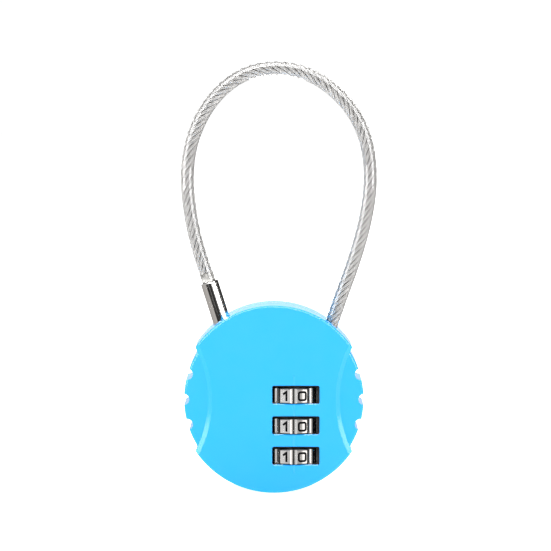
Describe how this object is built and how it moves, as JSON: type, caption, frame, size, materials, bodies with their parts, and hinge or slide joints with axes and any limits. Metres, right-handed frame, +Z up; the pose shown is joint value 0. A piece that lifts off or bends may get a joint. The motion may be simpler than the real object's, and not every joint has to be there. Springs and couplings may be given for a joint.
{
  "type": "cable combination padlock",
  "caption": "Round glossy blue padlock with thumb dials in front windows and a springy clear-jacketed steel cable shackle that plugs into the body.",
  "frame": {"origin": "hang point: the inside of the cable shackle's crown, in the middle of the cable", "axes": "+Z up along the shackle, front with the dials faces -Y, +X to the right seen from the front"},
  "size_m": [0.0408, 0.0133, 0.0893],
  "materials": {
    "body_blue": "glossy sky-blue enamel on die-cast zinc",
    "dial_metal": "satin chrome",
    "polished_steel": "polished",
    "wire_rope": "stranded wire",
    "clear_jacket": "clear, glossy",
    "steel": "plain, plated",
    "spring_steel": "drawn wire and strip",
    "brass": "machined",
    "zinc": "die-cast zinc",
    "digit_ink": "black fill of the dial numbers"
  },
  "bodies": {
    "housing": {"front_shell": "body_blue", "rear_shell": "body_blue", "case_pins": "steel", "lock_frame": "zinc", "detent_spring": "spring_steel", "spindle_spring": "spring_steel", "hub_spring": "spring_steel", "plug_clip": "spring_steel", "anchor_ferrule": "steel", "cable_core": "wire_rope", "cable_jacket": "clear_jacket"},
    "dial_top": {"dial_top": "dial_metal"},
    "dial_middle": {"dial_middle": "dial_metal"},
    "dial_bottom": {"dial_bottom": "dial_metal"},
    "hub_top": {"hub_top": "zinc"},
    "hub_middle": {"hub_middle": "zinc"},
    "hub_bottom": {"hub_bottom": "zinc"},
    "spindle": {"spindle": "steel"},
    "lock_slider": {"lock_slider": "brass"},
    "reset_button": {"reset_button": "steel"},
    "plug": {"plug_ferrule": "polished_steel"}
  },
  "joints": [
    {"name": "plug_pull", "type": "slide", "parent": "housing", "child": "plug", "axis": [-0.3024, 0, 0.9532], "range_m": [0, 0.012], "deforming": ["cable_core", "cable_jacket", "plug_clip"]},
    {"name": "lock_slide", "type": "slide", "parent": "housing", "child": "lock_slider", "axis": [1, 0, 0], "range_m": [0, 0.002], "stiffness_N_per_m": 600, "springref_m": -0.003, "deforming": ["spindle_spring"]},
    {"name": "spindle_drop", "type": "slide", "parent": "housing", "child": "spindle", "axis": [0, 0, -1], "range_m": [0, 0.002]},
    {"name": "reset_press", "type": "slide", "parent": "housing", "child": "reset_button", "axis": [0, 0, 1], "range_m": [0, 0.0011], "stiffness_N_per_m": 800, "springref_m": -0.002, "deforming": ["hub_spring"]},
    {"name": "dial_top_spin", "type": "hinge", "parent": "housing", "child": "dial_top", "pos_m": [0.0041, -0.00105, -0.06628], "axis": [0, 0, 1], "continuous": true, "deforming": ["detent_spring"]},
    {"name": "dial_middle_spin", "type": "hinge", "parent": "housing", "child": "dial_middle", "pos_m": [0.0041, -0.00105, -0.07263], "axis": [0, 0, 1], "continuous": true},
    {"name": "dial_bottom_spin", "type": "hinge", "parent": "housing", "child": "dial_bottom", "pos_m": [0.0041, -0.00105, -0.07898], "axis": [0, 0, 1], "continuous": true},
    {"name": "hub_top_lift", "type": "slide", "parent": "dial_top", "child": "hub_top", "axis": [0, 0, 1], "range_m": [0, 0.0011]},
    {"name": "hub_middle_lift", "type": "slide", "parent": "dial_middle", "child": "hub_middle", "axis": [0, 0, 1], "range_m": [0, 0.0011]},
    {"name": "hub_bottom_lift", "type": "slide", "parent": "dial_bottom", "child": "hub_bottom", "axis": [0, 0, 1], "range_m": [0, 0.0011]}
  ],
  "couplings": [
    {"joint": "spindle_drop", "follows": "lock_slide", "ratio": 1},
    {"joint": "hub_top_lift", "follows": "reset_press", "ratio": 1},
    {"joint": "hub_middle_lift", "follows": "reset_press", "ratio": 1},
    {"joint": "hub_bottom_lift", "follows": "reset_press", "ratio": 1}
  ]
}
